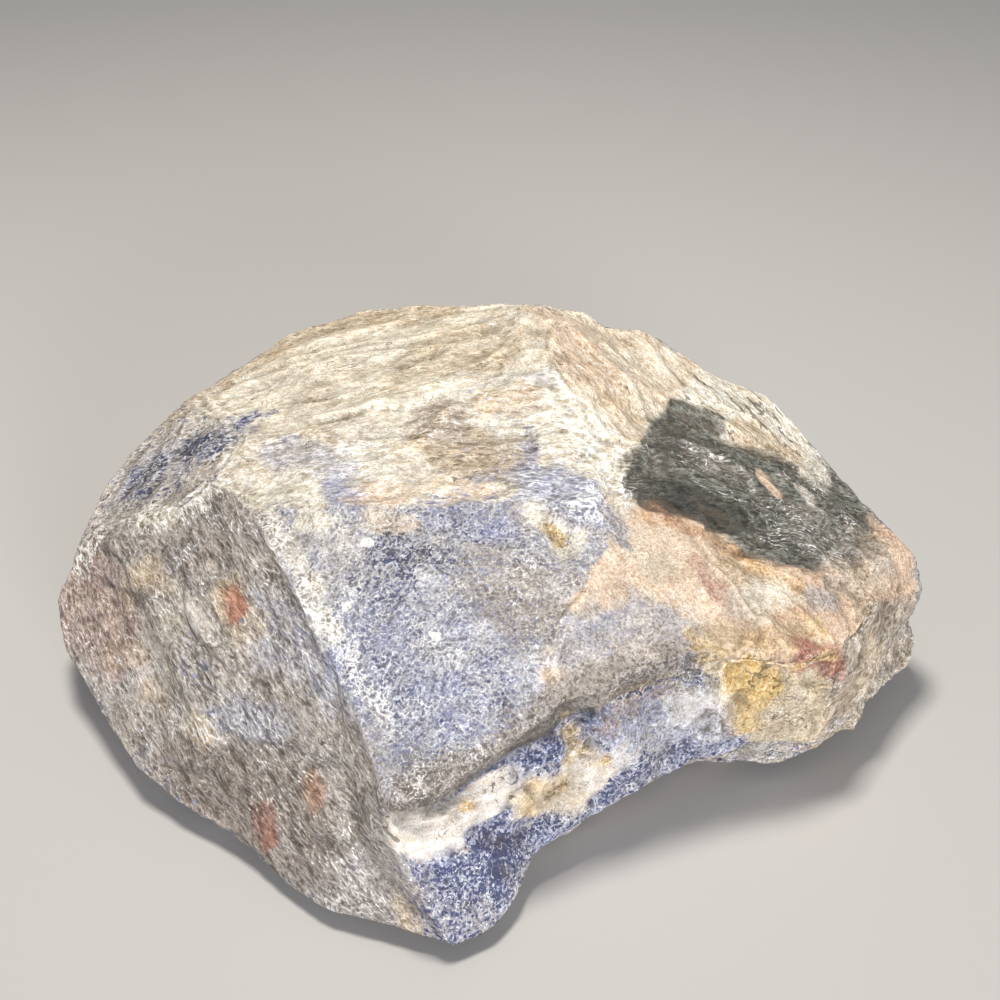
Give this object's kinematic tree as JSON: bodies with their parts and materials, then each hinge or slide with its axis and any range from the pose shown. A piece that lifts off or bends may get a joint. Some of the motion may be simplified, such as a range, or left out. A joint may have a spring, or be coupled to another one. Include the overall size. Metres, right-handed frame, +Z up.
{
  "type": "rough sodalite",
  "caption": "Rough, unpolished block of sodalite rock with broken faces, an overhanging ledge at the front and a flat spot below to rest on.",
  "frame": {"origin": "under the middle of the stone's box, on the surface that it rests on", "axes": "+Z up as the stone rests, +X along its length to the pointed right end, -Y towards its toe and its overhanging ledge"},
  "size_m": [0.2375, 0.1857, 0.0865],
  "materials": {
    "stone": null
  },
  "bodies": {
    "root": {"sodalite_rough": "stone"}
  },
  "joints": []
}
